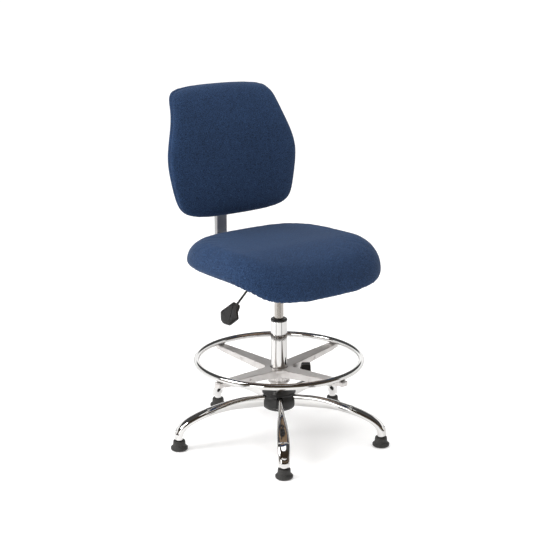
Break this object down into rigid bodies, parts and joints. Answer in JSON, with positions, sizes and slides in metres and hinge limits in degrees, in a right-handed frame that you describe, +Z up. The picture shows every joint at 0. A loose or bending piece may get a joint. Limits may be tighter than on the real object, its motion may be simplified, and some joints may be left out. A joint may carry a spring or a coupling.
{
  "type": "drafting chair",
  "caption": "Armless drafting chair with a padded seat and backrest, gas-lift column, adjustable foot ring and a star base on fixed glides.",
  "frame": {"origin": "on the floor, at the middle of the base's extent; the column axis stands 30.3 mm in front of it", "axes": "+Z up, the chair faces -Y, the sitter's right is -X"},
  "size_m": [0.655, 0.6254, 1.0503],
  "materials": {
    "chrome": "mirror-bright chromium plating on steel tube",
    "steel": "drawn steel with a satin nickel finish",
    "cast_aluminium": "die-cast, lightly tumbled, satin",
    "black_plastic": "moulded black nylon, fine matt texture",
    "black_rubber": "moulded black rubber, matt",
    "black_steel": "black powder coat, fine texture",
    "blue_fabric": "navy blue woven polyester crepe, fine fleck, low sheen",
    "plywood": "moulded birch plywood, sealed"
  },
  "bodies": {
    "base": {"hub_tube": "steel", "hub_cover_top": "black_plastic", "hub_cover_bottom": "black_plastic", "column_tube": "chrome", "guide_bush": "black_plastic", "thrust_bearing": "steel", "base_leg_1": "chrome", "base_leg_2": "chrome", "base_leg_3": "chrome", "base_leg_4": "chrome", "base_leg_5": "chrome", "stem_socket_1": "chrome", "stem_socket_2": "chrome", "stem_socket_3": "chrome", "stem_socket_4": "chrome", "stem_socket_5": "chrome", "glide_stem_1": "steel", "glide_stem_2": "steel", "glide_stem_3": "steel", "glide_stem_4": "steel", "glide_stem_5": "steel", "glide_1": "black_rubber", "glide_2": "black_rubber", "glide_3": "black_rubber", "glide_4": "black_rubber", "glide_5": "black_rubber"},
    "lift_rod": {"piston_rod": "steel", "retaining_clip": "steel", "bump_stop": "black_rubber"},
    "seat": {"stroke_tube": "steel", "taper_socket": "black_steel", "mechanism_housing": "black_steel", "lever_bush": "black_plastic", "seat_board": "plywood", "seat_cushion": "blue_fabric", "seat_bolt_1": "steel", "seat_bolt_2": "steel", "seat_bolt_3": "steel", "seat_bolt_4": "steel"},
    "release_valve": {"release_button": "steel"},
    "height_lever": {"lever_rod": "steel", "lever_paddle": "black_plastic"},
    "depth_screw": {"depth_knob": "black_plastic"},
    "back_bar": {"j_bar": "steel"},
    "backrest": {"back_bracket": "black_steel", "back_board": "plywood", "back_cushion": "blue_fabric", "back_rear_panel": "blue_fabric", "back_screw_1": "steel", "back_screw_2": "steel"},
    "back_clamp": {"back_knob": "black_plastic"},
    "ring_slider": {"ring_liner": "black_plastic"},
    "foot_ring": {"foot_ring_tube": "chrome", "foot_ring_spider": "cast_aluminium", "ring_screw_1": "steel", "ring_screw_2": "steel", "ring_screw_3": "steel", "ring_screw_4": "steel"},
    "ring_clamp": {"ring_knob": "black_plastic"}
  },
  "joints": [
    {"name": "seat_swivel", "type": "hinge", "parent": "base", "child": "lift_rod", "pos_m": [0, -0.03032, 0.1], "axis": [0, 0, 1], "continuous": true},
    {"name": "seat_height", "type": "slide", "parent": "lift_rod", "child": "seat", "axis": [0, 0, 1], "range_m": [-0.11, 0.07]},
    {"name": "height_lever_lift", "type": "hinge", "parent": "seat", "child": "height_lever", "pos_m": [-0.045, -0.03032, 0.529], "axis": [0, 1, 0], "range_deg": [0, 4], "stiffness_Nm_per_rad": 4, "springref_deg": -8.59},
    {"name": "release_button_press", "type": "slide", "parent": "seat", "child": "release_valve", "axis": [0, 0, 1], "range_m": [-0.004, 0]},
    {"name": "back_depth", "type": "slide", "parent": "seat", "child": "back_bar", "axis": [0, 1, 0], "range_m": [-0.045, 0.015]},
    {"name": "depth_knob_turn", "type": "hinge", "parent": "seat", "child": "depth_screw", "pos_m": [0, 0.09168, 0.48], "axis": [0, 0, -1], "range_deg": [0, 360]},
    {"name": "back_height", "type": "slide", "parent": "back_bar", "child": "backrest", "axis": [0, 0, 1], "range_m": [-0.025, 0.055]},
    {"name": "back_knob_turn", "type": "hinge", "parent": "backrest", "child": "back_clamp", "pos_m": [0, 0.28968, 0.745], "axis": [0, 1, 0], "range_deg": [0, 360]},
    {"name": "ring_height", "type": "slide", "parent": "base", "child": "ring_slider", "axis": [0, 0, 1], "range_m": [-0.02, 0.12]},
    {"name": "ring_turn", "type": "hinge", "parent": "ring_slider", "child": "foot_ring", "pos_m": [0, -0.03032, 0.2], "axis": [0, 0, 1], "continuous": true},
    {"name": "ring_knob_turn", "type": "hinge", "parent": "foot_ring", "child": "ring_clamp", "pos_m": [0.06389, -0.07846, 0.205], "axis": [0.7986, -0.6018, 0], "range_deg": [0, 360]}
  ],
  "couplings": [
    {"joint": "release_button_press", "follows": "height_lever_lift", "m_per_rad": -0.045}
  ]
}
